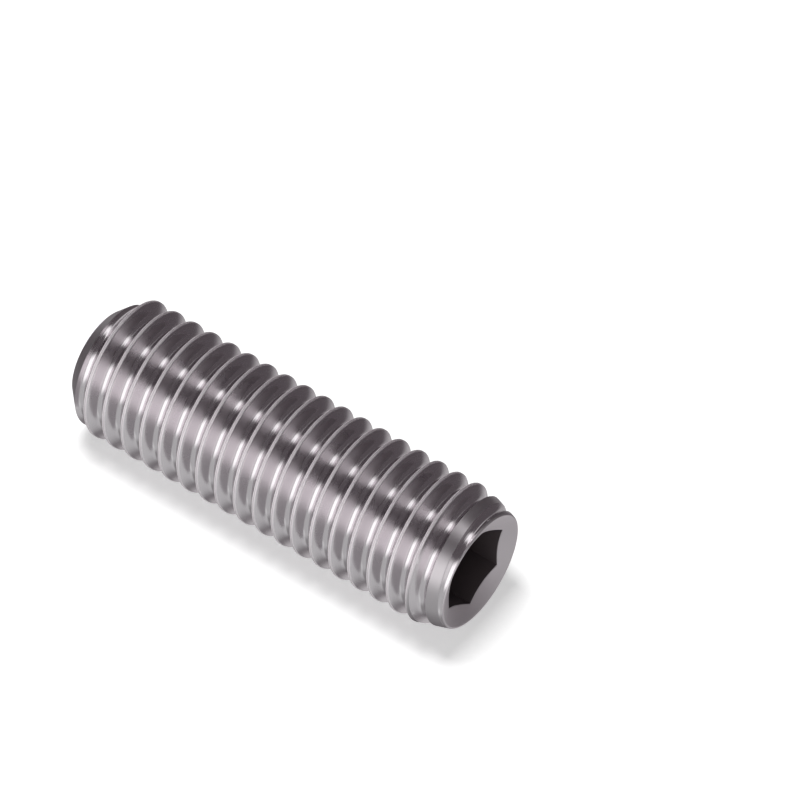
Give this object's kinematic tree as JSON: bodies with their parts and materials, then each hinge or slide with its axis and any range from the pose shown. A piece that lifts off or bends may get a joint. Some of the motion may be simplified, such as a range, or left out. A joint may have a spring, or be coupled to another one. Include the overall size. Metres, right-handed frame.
{
  "type": "grub set screw",
  "caption": "Headless steel set screw, threaded along its whole length, with a flat point and a countersunk hexagon socket in the other end.",
  "frame": {"origin": "centre of the flat point, on the surface that the screw stands on", "axes": "+Z along the screw's axis, from the flat point up to the socket; the picture's camera is on the -Y side"},
  "size_m": [0.008, 0.008, 0.025],
  "materials": {
    "stainless": "bright rolled stainless steel, with fine turning lines round the thread and a dark socket"
  },
  "bodies": {
    "root": {"set_screw": "stainless"}
  },
  "joints": []
}
